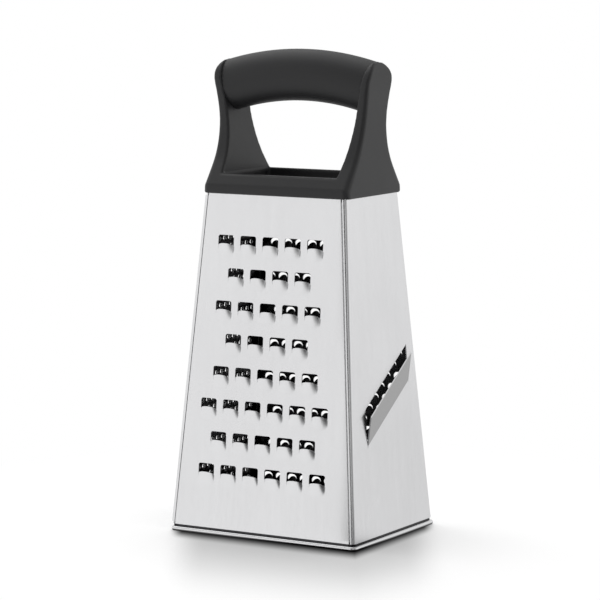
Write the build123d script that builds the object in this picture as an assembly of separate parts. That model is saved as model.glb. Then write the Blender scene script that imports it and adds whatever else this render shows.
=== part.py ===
from build123d import *
import math
import os

# A four-sided kitchen grater: a tapered box of sheet steel on a beaded rim, with a moulded handle.
# Millimetres. The origin is at the middle of the base on the table, +Z is up,
# the coarse side faces -Y and the slicing side faces +X.

# Steel body, measured outside
base_length = 107.0
base_depth = 81.2
top_length = 81.4
top_depth = 53.2
body_rise = 170.0
sheet = 0.6
corner_radius = 1.9

# Lap seams: each side panel ends in a lip, and the front and back panels step in behind it
lip_width = 2.65
seam_gap = 0.25
lap_clearance = 0.05
lap_reach = 0.8
lap_top_drop = 4.5

# Folded rim that the four panels stand in
rim_height = 2.8
rim_overhang = 1.1
rim_bevel = 0.6
rim_floor = 0.8
rim_leg = 0.8
rim_leg_rise = 1.4
rim_clearance = 0.1

# Coarse teeth of the front, row by row from the top
coarse_row_counts = (5, 4, 5, 4, 5, 6, 5, 6)
coarse_column_pitch = 13.0
coarse_row_pitch = 16.6
coarse_shift = 1.8
coarse_top_margin = 26.3
coarse_width = 9.2
coarse_opening = 4.75
coarse_corner = 1.0
coarse_arch = 1.0
coarse_lift = 1.9
coarse_ramp = 5.4
coarse_facets = 4

# Small teeth of the back
fine_column_pitch = 11.2
fine_row_pitch = 14.0
fine_top_margin = 14.0
fine_bottom_margin = 14.0
fine_side_margin = 9.0
fine_width = 4.8
fine_opening = 2.8
fine_lift = 1.2
fine_ramp = 2.8
fine_crest_share = 0.5

# Pierced burrs of the left side
burr_column_pitch = 9.8
burr_row_pitch = 10.2
burr_top_margin = 13.0
burr_bottom_margin = 13.0
burr_side_margin = 8.0
burr_sides = 3
burr_root_radius = 1.9
burr_tip_radius = 1.2
burr_height = 1.2
burr_wall = 0.35

# Slicing blade, lanced from the right side along a slanted fold
blade_length = 45.6
blade_shift = 1.8
blade_foot = 45.9
blade_angle = 31.0
slot_height = 19.2
blade_height = 15.7
blade_lift = 3.0
blade_side_gap = 0.3
blade_bevel = 1.2

# Steel plate that closes the body inside the collar
plate_thickness = 0.8
plate_flange = 3.5
plate_clearance = 0.05

# Handle moulding: collar, two uprights and the core of the bar
tuck = 2.8
skirt_overhang_length = 0.9
skirt_overhang_depth = 1.2
skirt_height = 3.8
skirt_round = 3.0
skirt_clearance = 0.1
collar_height = 9.6
collar_web = 1.8
collar_wall = 2.0
trough_corner = 2.0
waist_height = 9.0
waist_inset = 0.4
upright_flare = 3.4
upright_flare_rise = 48.0
upright_shoulder = 5.5
upright_head = 66.9
upright_head_rise = 1.5
upright_depth_radius = 12.3
upright_lean = 4.5
throat_height = 28.0
throat_bend_radius = 45.0
window_half_length = 33.4
window_lean = 7.6
window_bow = 0.8
window_rise = 48.0
core_cover = 2.6

# Soft grip round the core of the bar
grip_height = 26.1
grip_depth = 23.4
grip_arc_radius = 147.0
finger_gap = 36.4
grip_sides = 12
core_sides = 6
grip_clearance = 0.05

# Self-tapping screws from the plate up into the uprights
screw_inset_length = 4.1
screw_spacing = 28.0
screw_diameter = 2.6
screw_length = 8.5
screw_head_diameter = 4.8
screw_head_height = 1.7
screw_sides = 12
screw_clearance = 0.1
plate_hole_clearance = 0.3

# Planes and heights that follow from the sizes above
overrun = sheet + rim_overhang
collar_base = rim_height + body_rise
steel_top = collar_base + tuck
wall_top = collar_base + collar_height
grip_bottom = wall_top + finger_gap
grip_middle = grip_bottom + grip_height / 2
grip_arc_centre = grip_middle - grip_arc_radius
across = 2 * (base_length + base_depth)
length_taper = (base_length - top_length) / 2 / body_rise
depth_taper = (base_depth - top_depth) / 2 / body_rise


def half_length(height):
    """Half the steel body's outside length at a height above the table."""
    return base_length / 2 - length_taper * (height - rim_height)


def half_depth(height):
    """Half the steel body's outside depth at a height above the table."""
    return base_depth / 2 - depth_taper * (height - rim_height)


def wedge(half_size, plane, taper, inset, bottom, top):
    """Tapered slab between two leaning faces, set in from the body's faces by inset."""
    set_in = inset * math.sqrt(1 + taper * taper)
    foot = half_size(bottom) - set_in
    head = half_size(top) - set_in
    outline = Polyline((-foot, bottom), (foot, bottom), (head, top), (-head, top), close=True)
    return extrude(plane * make_face(outline), across, both=True)


def length_wedge(inset, bottom, top):
    """The space between the two side faces."""
    return wedge(half_length, Plane.XZ, length_taper, inset, bottom, top)


def depth_wedge(inset, bottom, top):
    """The space between the front and back faces."""
    return wedge(half_depth, Plane.YZ, depth_taper, inset, bottom, top)


def body_block(inset, bottom, top):
    """The body's tapered form, set in by inset, with its four slanted corners rounded."""
    block = length_wedge(inset, bottom, top) & depth_wedge(inset, bottom, top)
    corners = [edge for edge in block.edges() if abs((edge @ 1 - edge @ 0).Z) > (top - bottom) / 2]
    return fillet(corners, corner_radius - inset)


def body_shell(outer_inset, inner_inset, bottom, top):
    """A layer of the body's wall between two insets."""
    return body_block(outer_inset, bottom, top) - body_block(inner_inset, bottom, top)


def largest(shape):
    """The largest solid of a shape."""
    return max(shape.solids(), key=lambda solid: solid.volume)


def side_panel(sign):
    """Plain side panel: it wraps both corners and ends in a lip on the front and on the back."""
    shell = body_shell(0, sheet, rim_floor, steel_top)
    ends = shell - length_wedge(lip_width, rim_floor, steel_top)
    return Part() + [solid for solid in ends.solids() if solid.center().X * sign > 0]


def lap_panel(sign):
    """Plain front or back panel: flat between the lips, with edges that step in behind them."""
    edge = lip_width + seam_gap
    lap_inner = 2 * sheet + lap_clearance
    lap_bottom = rim_height + rim_leg_rise + seam_gap
    lap_top = steel_top - lap_top_drop
    flat = body_shell(0, sheet, rim_floor, steel_top) & length_wedge(edge, rim_floor, steel_top)
    step = body_shell(0, lap_inner, lap_bottom, lap_top) & length_wedge(edge, lap_bottom, lap_top)
    step -= length_wedge(edge + sheet, lap_bottom, lap_top)
    lap = body_shell(sheet + lap_clearance, lap_inner, lap_bottom, lap_top)
    lap -= length_wedge(edge + sheet, lap_bottom, lap_top)
    lap -= depth_wedge(corner_radius + lap_reach, lap_bottom, lap_top)
    pieces = flat.solids() + step.solids() + lap.solids()
    return Part() + [solid for solid in pieces if solid.center().Y * sign > 0]


def panel_plane(toward_x, toward_y):
    """Plane on a panel's outside face: x across it, y up its slope, z out of it."""
    taper = length_taper if toward_x else depth_taper
    origin = (toward_x * base_length / 2, toward_y * base_depth / 2, rim_height)
    return Plane(origin=origin, x_dir=(-toward_y, toward_x, 0), z_dir=(toward_x, toward_y, taper))


def panel_height(along_slope, taper):
    """Height above the table of a place on a panel's slope."""
    return rim_height + along_slope / math.sqrt(1 + taper * taper)


def tilted_bump(section, ramp, lift, arch):
    """A section pushed up out of the sheet along a ramp that ends at the cutting edge."""
    tilt = math.atan2(lift, ramp + arch)
    direction = (0, math.cos(tilt), math.sin(tilt))
    start = (0, -2 * ramp, -ramp * math.tan(tilt))
    run = Plane(origin=start, x_dir=(1, 0, 0), z_dir=direction)
    return extrude(run * section, 4 * ramp)


def tooth(section, hollow, opening, width, ramp, lift, arch):
    """Bump and cutter of one tooth, with the foot of its opening at the origin."""
    zone_height = lift + 2 * sheet
    zone_middle = Pos(0, (arch - 2 * ramp) / 2, zone_height / 2 - sheet)
    zone = zone_middle * Box(width, arch + 2 * ramp, zone_height)
    bump = tilted_bump(section, ramp, lift, arch) & zone
    under = tilted_bump(hollow, ramp, lift, arch) & (Pos(0, 0, -sheet / 2) * zone)
    hole = extrude(Plane.XY.offset(-2 * sheet) * opening, lift + 4 * sheet)
    return bump, under + hole


def arched_section(radius, spread, drop):
    """Round back of a tooth as a run of facets, drawn downwards from its crest."""
    turns = [spread * (2 * step / coarse_facets - 1) for step in range(coarse_facets + 1)]
    back = [(radius * math.sin(turn), drop + radius * (1 - math.cos(turn))) for turn in turns]
    foot = back[0][1] + 2 * sheet
    return make_face(Polyline(*back, (back[-1][0], foot), (back[0][0], foot), close=True))


def coarse_tooth():
    """Wide tooth: a scoop with an arched back, below an opening with trimmed upper corners."""
    half = coarse_width / 2
    rise = coarse_lift * coarse_ramp / (coarse_ramp + coarse_arch)
    radius = (half * half + rise * rise) / (2 * rise)
    spread = math.asin(half / radius)
    section = arched_section(radius, spread, 0)
    hollow = arched_section(radius - sheet, spread, sheet)
    trim = half - coarse_corner
    opening = make_face(Polyline((-half, 0), (-half, coarse_opening - coarse_corner), (-trim, coarse_opening),
                                 (trim, coarse_opening), (half, coarse_opening - coarse_corner), (half, 0),
                                 (half / 2, coarse_arch), (-half / 2, coarse_arch), close=True))
    return tooth(section, hollow, opening, coarse_width, coarse_ramp, coarse_lift, coarse_arch)


def ridge_section(half_foot, half_crest, crest, depth):
    """Flat-topped ridge, drawn downwards from its crest."""
    slope = (half_foot - half_crest) / fine_lift
    foot = half_crest + slope * (depth - crest)
    outline = Polyline((-half_crest, crest), (half_crest, crest), (foot, depth), (-foot, depth), close=True)
    return make_face(outline)


def fine_tooth():
    """Small tooth: a flat-topped ridge of three facets below a plain opening."""
    half = fine_width / 2
    half_crest = half * fine_crest_share
    depth = fine_lift + 2 * sheet
    section = ridge_section(half, half_crest, 0, depth)
    hollow = ridge_section(half - sheet, half_crest - sheet / 2, sheet, depth + sheet)
    opening = Pos(0, fine_opening / 2) * Rectangle(fine_width, fine_opening)
    return tooth(section, hollow, opening, fine_width, fine_ramp, fine_lift, 0)


def pyramid(low_radius, high_radius, low, high):
    """Upright frustum with the burr's number of sides."""
    flat_share = math.cos(math.pi / burr_sides)
    lean = math.degrees(math.atan2((low_radius - high_radius) * flat_share, high - low))
    return extrude(Plane.XY.offset(low) * RegularPolygon(low_radius, burr_sides), high - low, taper=lean)


def burr():
    """Pierced burr: a hollow pyramid raised from the sheet, and the cutter of its hole."""
    narrowing = (burr_root_radius - burr_tip_radius) / burr_height
    crown = pyramid(burr_root_radius + narrowing * sheet, burr_tip_radius, -sheet, burr_height)
    hole_root = burr_root_radius - burr_wall + 2 * narrowing * sheet
    hole_tip = burr_tip_radius - burr_wall - narrowing * sheet
    hole = pyramid(hole_root, hole_tip, -2 * sheet, burr_height + sheet)
    return crown, hole


def coarse_places():
    """Places of the coarse teeth, row by row from the top of the front."""
    slope = body_rise * math.sqrt(1 + depth_taper * depth_taper)
    first = slope - coarse_top_margin
    return [
        (coarse_column_pitch * (column - (count - 1) / 2) - coarse_shift, first - coarse_row_pitch * row)
        for row, count in enumerate(coarse_row_counts)
        for column in range(count)
    ]


def staggered_places(half_size, taper, column_pitch, row_pitch, bottom_margin, top_margin, side_margin):
    """Staggered grid that fills a panel, with as many columns in each row as fit its width."""
    slope = body_rise * math.sqrt(1 + taper * taper)
    rows = int((slope - bottom_margin - top_margin) / row_pitch) + 1
    places = []
    for row in range(rows):
        up = slope - top_margin - row_pitch * row
        room = half_size(panel_height(up, taper)) - side_margin
        offset = (row % 2) / 2
        reach = int(room / column_pitch - offset)
        steps = range(-reach - row % 2, reach + 1)
        places += [(column_pitch * (step + offset), up) for step in steps]
    return places


def punched(panel, plane, feature, places):
    """A panel with the same raised and pierced feature at each place."""
    bump, cutter = feature
    bumps = [plane * Pos(across_panel, up) * bump for across_panel, up in places]
    cutters = [plane * Pos(across_panel, up) * cutter for across_panel, up in places]
    return largest((panel + bumps) - cutters)


def front_panel():
    """Coarse side."""
    return punched(lap_panel(-1), panel_plane(0, -1), coarse_tooth(), coarse_places())


def back_panel():
    """Fine shredding side."""
    places = staggered_places(half_length, depth_taper, fine_column_pitch, fine_row_pitch,
                              fine_bottom_margin, fine_top_margin, fine_side_margin)
    return punched(lap_panel(1), panel_plane(0, 1), fine_tooth(), places)


def left_panel():
    """Rasping side."""
    places = staggered_places(half_depth, length_taper, burr_column_pitch, burr_row_pitch,
                              burr_bottom_margin, burr_top_margin, burr_side_margin)
    return punched(side_panel(-1), panel_plane(-1, 0), burr(), places)


def right_panel():
    """Slicing side: a slanted slot, and the strip from it bent out as a blade."""
    face = panel_plane(1, 0)
    left = blade_shift - blade_length / 2
    right = blade_shift + blade_length / 2
    climb = blade_length * math.tan(math.radians(blade_angle))
    foot_left = (left, blade_foot)
    foot_right = (right, blade_foot + climb)
    head_right = (right, blade_foot + climb + slot_height)
    head_left = (left, blade_foot + slot_height)
    slot = make_face(Polyline(foot_left, foot_right, head_right, head_left, close=True))
    panel = side_panel(1) - face * extrude(Plane.XY.offset(-2 * sheet) * slot, 4 * sheet)

    # The blade lies on a plane that turns outwards about the fold
    slant = math.radians(blade_angle)
    width = blade_height * math.cos(slant)
    drift = blade_height * math.sin(slant)
    lean = math.asin(blade_lift / width)
    fold_length = blade_length / math.cos(slant)
    out = (math.sin(slant) * math.sin(lean), -math.cos(slant) * math.sin(lean), math.cos(lean))
    turned = Plane(origin=(left, blade_foot, 0), x_dir=(math.cos(slant), math.sin(slant), 0), z_dir=out)
    strip = make_face(Polyline((0, -sheet), (fold_length, -sheet), (fold_length, 0),
                               (fold_length + drift - blade_side_gap, width),
                               (drift + blade_side_gap, width), (blade_side_gap, 0), (0, 0), close=True))
    blade = extrude(turned * strip, -sheet)
    bevel = make_face(Polyline((width - blade_bevel, 0), (width + sheet, 0),
                               (width + sheet, -sheet), (width, -sheet), close=True))
    ground = extrude(Plane.YZ * bevel, across, both=True)
    blade -= turned * ground
    return largest(panel + face * blade)


def base_rim():
    """Beaded ring, folded up inside the body so that the panels' lower edges stand in it."""
    length = base_length + 2 * rim_overhang
    depth = base_depth + 2 * rim_overhang
    bead = extrude(RectangleRounded(length, depth, corner_radius + rim_overhang), rim_height)
    half = rim_height / 2
    rings = [edge for edge in bead.edges() if abs(edge.center().Z - half) > half - rim_clearance]
    bead = chamfer(rings, rim_bevel)
    leg_outer = sheet + rim_clearance
    bore = leg_outer + rim_leg
    leg_top = rim_height + rim_leg_rise
    ring = bead + body_block(leg_outer, 0, leg_top)
    ring -= body_block(bore, -overrun, leg_top + overrun)
    ring -= body_shell(-rim_clearance, leg_outer, rim_floor, leg_top + overrun)
    return largest(ring)


def top_plate():
    """Pressed plate with turned-down edges, welded between the panels and pierced for the screws."""
    outer = sheet + plate_clearance
    foot = steel_top - plate_flange
    plate = body_block(outer, foot, steel_top)
    plate -= body_block(outer + plate_thickness, foot - overrun, steel_top - plate_thickness)
    hole = round_bar(screw_diameter + 2 * plate_hole_clearance, -tuck, tuck)
    return largest(plate - [Pos(x, y, steel_top) * hole for x, y in screw_places()])


def round_bar(diameter, bottom, top):
    """Upright round bar or hole of a screw, drawn with a few flats."""
    section = RegularPolygon(diameter / 2, screw_sides)
    return extrude(Plane.XY.offset(bottom) * section, top - bottom)


def screw_places():
    """Middles of the four screws."""
    x = half_length(steel_top) - screw_inset_length
    y = screw_spacing / 2
    return [(-x, -y), (x, -y), (-x, y), (x, y)]


def window_outline(inset):
    """Half of the gap between the uprights, seen from the front, widening upwards along a slight bow."""
    foot = (window_half_length - inset, wall_top)
    head = (foot[0] + window_lean, wall_top + window_rise)
    middle = ((foot[0] + head[0]) / 2 - window_bow, (foot[1] + head[1]) / 2)
    slope = (window_lean + 4 * window_bow) / window_rise
    past = (head[0] + slope * window_rise, head[1] + window_rise)
    side = ThreePointArc(foot, middle, head) + Line(head, past)
    rest = Polyline(past, (0, past[1]), (0, wall_top), foot)
    return make_face(side + rest)


def window_block(inset):
    """The gap between the uprights, right through from front to back."""
    half = Plane.XZ * window_outline(inset)
    return extrude(half + mirror(half, Plane.YZ), across, both=True)


def front_outline():
    """The handle seen from the front: a waisted side that flares and rounds over at the top."""
    foot = half_length(collar_base) + skirt_overhang_length
    waist = foot - waist_inset
    brow = (waist + upright_flare, waist_height + upright_flare_rise)
    crown = (brow[0] - upright_shoulder, upright_head + upright_head_rise)
    side = Spline((foot, 0), (waist, waist_height), brow)
    shoulder = TangentArc(brow, crown, tangent=side % 1)
    half = make_face(side + shoulder + Polyline(crown, (0, crown[1]), (0, 0), (foot, 0)))
    return half + mirror(half, Plane.YZ)


def flank_foot():
    """Half depth of the collar at its lower edge."""
    return half_depth(collar_base) + skirt_overhang_depth


def throat_half_depth():
    """Half depth where the collar's slope and the upright's flank would meet."""
    lean = math.radians(upright_lean)
    head_start = upright_head - upright_depth_radius * (1 + math.sin(lean))
    return upright_depth_radius * math.cos(lean) - math.tan(lean) * (head_start - throat_height)


def side_outline():
    """The handle seen from the side: a skirt, a slope that sweeps in to a throat, and a round head."""
    foot = flank_foot()
    lean = math.radians(upright_lean)
    radius = upright_depth_radius
    head_start = (radius * math.cos(lean), upright_head - radius * (1 + math.sin(lean)))
    flank = FilletPolyline((foot, 0), (foot, skirt_height), (throat_half_depth(), throat_height), head_start,
                           radius=[skirt_round, throat_bend_radius])
    head = TangentArc(head_start, (0, upright_head), tangent=flank % 1)
    half = make_face(flank + head + Polyline((0, upright_head), (0, 0), (foot, 0)))
    return half + mirror(half, Plane.YZ)


def handle_block():
    """The handle's outer form: its front and side outlines crossed."""
    block = extrude(Plane.XZ * front_outline(), across, both=True)
    block &= extrude(Plane.YZ * side_outline(), across, both=True)
    return Pos(0, 0, collar_base) * block


def trough():
    """Recess in the top of the collar, between its front and back walls."""
    fall = (flank_foot() - throat_half_depth()) / (throat_height - skirt_height)
    wall_outside = flank_foot() - fall * (collar_height - skirt_height)
    half_opening = wall_outside - collar_wall
    floor = steel_top + collar_web
    outline = RectangleRounded(2 * window_half_length, 2 * half_opening, trough_corner)
    return extrude(Plane.XY.offset(floor) * outline, collar_height)


def bar(height, depth, sides):
    """Oval bar bent along an arc above the body's middle, with narrow flats along it."""
    axis = Axis((0, 0, grip_arc_centre), (0, 1, 0))
    half_angle = math.degrees(math.asin(base_length / 2 / grip_arc_radius))
    turns = [2 * math.pi * side / sides for side in range(sides)]
    outline = Polyline(*[(depth / 2 * math.cos(turn), height / 2 * math.sin(turn)) for turn in turns], close=True)
    section = Plane.YZ * Pos(0, grip_middle) * make_face(outline)
    return revolve(section, axis, 2 * half_angle).rotate(axis, -half_angle)


def handle_frame():
    """Collar, uprights and the bar's core in one moulding, open below for the steel body."""
    block = handle_block()
    core = bar(grip_height - 2 * core_cover, grip_depth - 2 * core_cover, core_sides) & block
    frame = block - window_block(0) + core - trough()
    frame -= body_block(-skirt_clearance, collar_base - overrun, steel_top)
    pilot_depth = screw_length - plate_thickness + screw_clearance
    pilot = round_bar(screw_diameter + screw_clearance, steel_top, steel_top + pilot_depth)
    return largest(frame - [Pos(x, y) * pilot for x, y in screw_places()])


def grip_sleeve():
    """Soft sleeve moulded round the core, from upright to upright."""
    cover = 2 * (core_cover - grip_clearance)
    sleeve = bar(grip_height, grip_depth, grip_sides)
    sleeve -= bar(grip_height - cover, grip_depth - cover, core_sides)
    return largest(sleeve & window_block(grip_clearance))


def handle_screw(x, y):
    """Self-tapping screw, point up, with its head under the plate."""
    head = round_bar(screw_head_diameter, -screw_head_height, 0)
    shank = round_bar(screw_diameter, 0, screw_length)
    return Pos(x, y, steel_top - plate_thickness) * (head + shank)


def main():
    os.makedirs("parts", exist_ok=True)
    nodes = {
        "front_panel": front_panel(),
        "back_panel": back_panel(),
        "left_panel": left_panel(),
        "right_panel": right_panel(),
        "base_rim": base_rim(),
        "top_plate": top_plate(),
        "handle_frame": handle_frame(),
        "grip_sleeve": grip_sleeve(),
    }
    corners = ("front_left", "front_right", "back_left", "back_right")
    for corner, (x, y) in zip(corners, screw_places()):
        nodes["handle_screw_" + corner] = handle_screw(x, y)
    for name, solid in nodes.items():
        export_step(solid, os.path.join("parts", name + ".step"))


main()
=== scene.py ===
import math

import bmesh
import bpy
import numpy as np
from mathutils import Matrix, Vector, geometry


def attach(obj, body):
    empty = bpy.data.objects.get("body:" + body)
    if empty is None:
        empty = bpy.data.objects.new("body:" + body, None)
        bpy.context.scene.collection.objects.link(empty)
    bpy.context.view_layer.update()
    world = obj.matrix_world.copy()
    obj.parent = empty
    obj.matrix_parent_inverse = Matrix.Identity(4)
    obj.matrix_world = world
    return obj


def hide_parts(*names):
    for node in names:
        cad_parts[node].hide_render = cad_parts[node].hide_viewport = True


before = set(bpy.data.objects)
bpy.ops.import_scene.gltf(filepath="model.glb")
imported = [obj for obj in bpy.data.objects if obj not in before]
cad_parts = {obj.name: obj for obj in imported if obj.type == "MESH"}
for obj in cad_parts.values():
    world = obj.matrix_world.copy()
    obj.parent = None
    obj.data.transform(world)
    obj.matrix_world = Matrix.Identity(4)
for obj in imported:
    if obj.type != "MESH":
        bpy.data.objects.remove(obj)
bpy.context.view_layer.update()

# Sizes are in millimetres, as in the CAD source, and every mesh is scaled to metres when it is made.
# Only the studio's own sizes are in metres.
MM = 0.001

# Steel body, measured outside
BASE_LENGTH = 107.0
BASE_DEPTH = 81.2
TOP_LENGTH = 81.4
TOP_DEPTH = 53.2
BODY_RISE = 170.0
SHEET = 0.6
CORNER_RADIUS = 1.9
LENGTH_TAPER = (BASE_LENGTH - TOP_LENGTH) / 2 / BODY_RISE
DEPTH_TAPER = (BASE_DEPTH - TOP_DEPTH) / 2 / BODY_RISE

# Lap seams: the side panels end in lips, and the front and back panels step in behind them
LIP_WIDTH = 2.35
SEAM_GAP = 0.34
LEFT_LIP_WIDTH = 1.1
LEFT_CORNER_RADIUS = 0.6
LEFT_SEAM_GAP = 0.12
STEP_BEND = 0.45
LAP_DEPTH = 0.7
LAP_REACH = 2.0
LAP_BOTTOM = 4.45
LAP_TOP = 171.1
CORNER_STEPS = 10
BEND_STEPS = 5

# Folded rim, with a narrow neck round the body above its bead
RIM_HEIGHT = 2.8
RIM_OVERHANG = 1.1
RIM_FLOOR = 0.8
RIM_LEG_RISE = 1.4
RIM_SLOT_GAP = 0.15
RIM_LIP_ROUND = 0.2
RIM_FOOT_ROUND = 0.6
RIM_LEAST_CORNER = 0.3
FOOT_GAP = 0.15
BEAD_HEIGHT = 2.35
BEAD_STEPS = 20
NECK_TOP = 3.55
NECK_DEPTH = 0.6

# Plate that closes the body inside the collar
PLATE_THICKNESS = 0.8
PLATE_FLANGE = 3.5
PLATE_BEND = 1.2
PLATE_CORNER = 1.6
PLATE_GAP = 0.1

# Handle moulding, with heights above the collar's lower edge
COLLAR_BASE = RIM_HEIGHT + BODY_RISE
TUCK = 2.8
STEEL_TOP = COLLAR_BASE + TUCK
SKIRT_OVERHANG_LENGTH = 0.9
SKIRT_OVERHANG_DEPTH = 1.2
SKIRT_HEIGHT = 3.8
SKIRT_ROUND = 3.0
COLLAR_HEIGHT = 9.6
COLLAR_WEB = 1.8
COLLAR_WALL = 2.0
COLLAR_FIT = 0.15
TROUGH_CORNER = 2.0
TROUGH_FLOOR_ROUND = 0.8
TROUGH_RIM_ROUND = 0.7
WAIST_BEND = 0.002022
WAIST_SLOPE = -0.06264
BROW_HEIGHT = 58.4
SHOULDER_RADIUS = 9.3
SHOULDER_END = 70
HEAD_HEIGHT = 66.9
HEAD_RADIUS = 12.3
HEAD_ROOM = 4
UPRIGHT_LEAN = 4.5
THROAT_HEIGHT = 28.0
THROAT_BEND = 45.0
WINDOW_HALF_LENGTH = 33.4
WINDOW_LEAN = 7.6
WINDOW_BOW = 0.8
WINDOW_RISE = 48.0
WINDOW_REACH = 1.5
WALL_TOP = COLLAR_BASE + COLLAR_HEIGHT
FOOT_HALF_LENGTH = BASE_LENGTH / 2 - LENGTH_TAPER * BODY_RISE + SKIRT_OVERHANG_LENGTH
FOOT_HALF_DEPTH = BASE_DEPTH / 2 - DEPTH_TAPER * BODY_RISE + SKIRT_OVERHANG_DEPTH
PAST_FOOT = 8.0
FOOT_DROP = 0.5

# Rounding of the handle's edges. The collar's fades out over its rise.
# The head's begins at one height and comes in over its blend.
EDGE_ROUND = 1.9
COLLAR_EDGE_ROUND = 3.2
COLLAR_EDGE_RISE = 26
HEAD_EDGE_ROUND = 1.3
HEAD_EDGE_FROM = 50
FOOT_EDGE_ROUND = 1.0
INNER_EDGE_ROUND = 0.9
HEAD_INNER_ROUND = 0.35
HEAD_INNER_FROM = 40
HEAD_BLEND = 8

# How far the faces stand further out, so that the rounded edges keep the handle's outline
SIDE_FILL = 0.72
FRONT_FILL = 0.15

# Grid that the handle's skin is drawn on: each axis's ends, and its step
HANDLE_GRID = ((-47.4, 47.5), (-30.3, 30.4), (-1.5, 69.1))
HANDLE_STEP = 0.6

# Soft grip
GRIP_HEIGHT = 26.1
GRIP_DEPTH = 23.4
GRIP_ARC_RADIUS = 147.0
GRIP_END = 0.3
GRIP_SIDES = 72
GRIP_HALF_STEPS = 56
FIRST_SWING = 0.26
SWING_TRIES = 8
FINGER_GAP = 36.4
SKIN_GAP = 0.03
GRIP_ARC_CENTRE = WALL_TOP + FINGER_GAP + GRIP_HEIGHT / 2 - GRIP_ARC_RADIUS

# Screws, with heights above the seat of the head
SCREW_INSET = 4.1
SCREW_SPACING = 28.0
SCREW_SIDES = 32
SCREW_AXIS = 0.02
HEAD_PROFILE = [(0.0, -1.70), (0.45, -1.69), (0.9, -1.64), (1.35, -1.52), (1.8, -1.28), (2.15, -0.9),
                (2.4, -0.35), (2.4, 0.0), (1.3, 0.0)]
CROSS_HALF_WIDTH = 0.3
CROSS_REACH = 1.4
CROSS_RIM = -1.4
CROSS_DEPTH = 0.85
CROSS_SLOPE = 0.5
SHANK_START = 0.1
SHANK_RADIUS = 1.0
SHANK_BANDS = 60
THREAD_PITCH = 1.0
THREAD_TURNS = 7.6
THREAD_HEIGHT = 0.3
THREAD_SHARPNESS = 5
POINT_START = 6.4
POINT_LENGTH = 1.7
POINT_SHARE = 0.12

# Rounding that the mesh work allows for, in millimetres
FILL_TOLERANCE = 1e-6
CUT_TOLERANCE = 1e-5
MERGE_TOLERANCE = 1e-4
EDGE_TOLERANCE = 1e-3
PLACE_TOLERANCE = 0.01


# Node trees

def operation(kind, swapped=False):
    """A method that adds the Math node of one sum."""
    def add_node(wire, *others):
        return wire.math(kind, *((*others, wire) if swapped else (wire, *others)))
    return add_node


class Wire:
    """An output socket that takes part in sums: each operation adds its Math node."""

    def __init__(self, graph, socket):
        self.graph = graph
        self.socket = socket

    def math(self, kind, *values):
        return self.graph.add("ShaderNodeMath", dict(enumerate(values)), operation=kind)

    def other(self, name):
        """Another output of the same node."""
        return Wire(self.graph, self.socket.node.outputs[name])

    __add__ = operation("ADD")
    __radd__ = operation("ADD", swapped=True)
    __sub__ = operation("SUBTRACT")
    __rsub__ = operation("SUBTRACT", swapped=True)
    __mul__ = operation("MULTIPLY")
    __rmul__ = operation("MULTIPLY", swapped=True)
    __truediv__ = operation("DIVIDE")
    __mod__ = operation("MODULO")
    __gt__ = operation("GREATER_THAN")
    __lt__ = operation("LESS_THAN")
    __abs__ = operation("ABSOLUTE")
    floor = operation("FLOOR")
    sign = operation("SIGN")
    at_least = operation("MAXIMUM")
    at_most = operation("MINIMUM")


def set_stops(stops, wanted):
    """Sets a colour ramp's stops. A ramp starts with two, which take the first and the last."""
    first, *inner, last = wanted
    for number, (position, color) in enumerate([first, last] + inner):
        stop = stops[number] if number < 2 else stops.new(position)
        stop.position = position
        stop.color = color


class Graph:
    """Adds nodes to one tree."""

    def __init__(self, tree):
        self.tree = tree

    def add(self, kind, values=None, output=0, **settings):
        """Adds a node: its settings first, then the values or links of its sockets. Returns one output."""
        node = self.tree.nodes.new(kind)
        for name, value in settings.items():
            if name == "stops":
                set_stops(node.color_ramp.elements, value)
            else:
                setattr(node, name, value)
        for name, value in (values or {}).items():
            for single in value if isinstance(value, list) else [value]:
                if isinstance(single, Wire):
                    self.tree.links.new(single.socket, node.inputs[name])
                else:
                    node.inputs[name].default_value = single
        return Wire(self, node.outputs[output]) if node.outputs else None

    def mix_color(self, factor, first, second):
        """Mixes two colours. The node's sockets share their names, so they go by number."""
        return self.add("ShaderNodeMix", {0: factor, 6: first, 7: second}, 2, data_type="RGBA")

    def ramp(self, value, low, high, start=0.0, end=1.0, kind="LINEAR"):
        """Carries a value from one range to another, and holds it past the ends."""
        return self.add("ShaderNodeMapRange", {
            "Value": value, "From Min": low, "From Max": high, "To Min": start, "To Max": end},
            interpolation_type=kind)

    def split(self, vector):
        """The x, y and z of a vector."""
        x = self.add("ShaderNodeSeparateXYZ", {"Vector": vector}, "X")
        return x, x.other("Y"), x.other("Z")

    def length(self, vector):
        """How long a vector is."""
        return self.add("ShaderNodeVectorMath", {0: vector}, "Value", operation="LENGTH")

    def place(self):
        """Where a spot lies on the object."""
        return self.add("ShaderNodeTexCoord", output="Object")

    def feed(self, wire, node, name):
        """Links a wire to a named socket of a node that is there already."""
        self.tree.links.new(wire.socket, node.inputs[name])


def grey(tone, blue=0):
    """Colour of a grey, with a little more blue if given."""
    return (tone, tone, tone + blue, 1)


def open_tree(name, kinds):
    """Starts a Geometry Nodes tree with named inputs. Returns it, its graph and a wire from each input."""
    tree = bpy.data.node_groups.new(name, "GeometryNodeTree")
    for title, kind in kinds.items():
        tree.interface.new_socket(title, in_out="INPUT", socket_type="NodeSocket" + kind)
    tree.interface.new_socket("Geometry", in_out="OUTPUT", socket_type="NodeSocketGeometry")
    graph = Graph(tree)
    start = graph.add("NodeGroupInput")
    return tree, graph, {title: start.other(title) for title in kinds}


def close_tree(graph, geometry, material):
    """Gives a tree's geometry its material and sends it out."""
    painted = graph.add("GeometryNodeSetMaterial", {"Geometry": geometry, "Material": material})
    graph.add("NodeGroupOutput", {"Geometry": painted})


# Meshes

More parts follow.
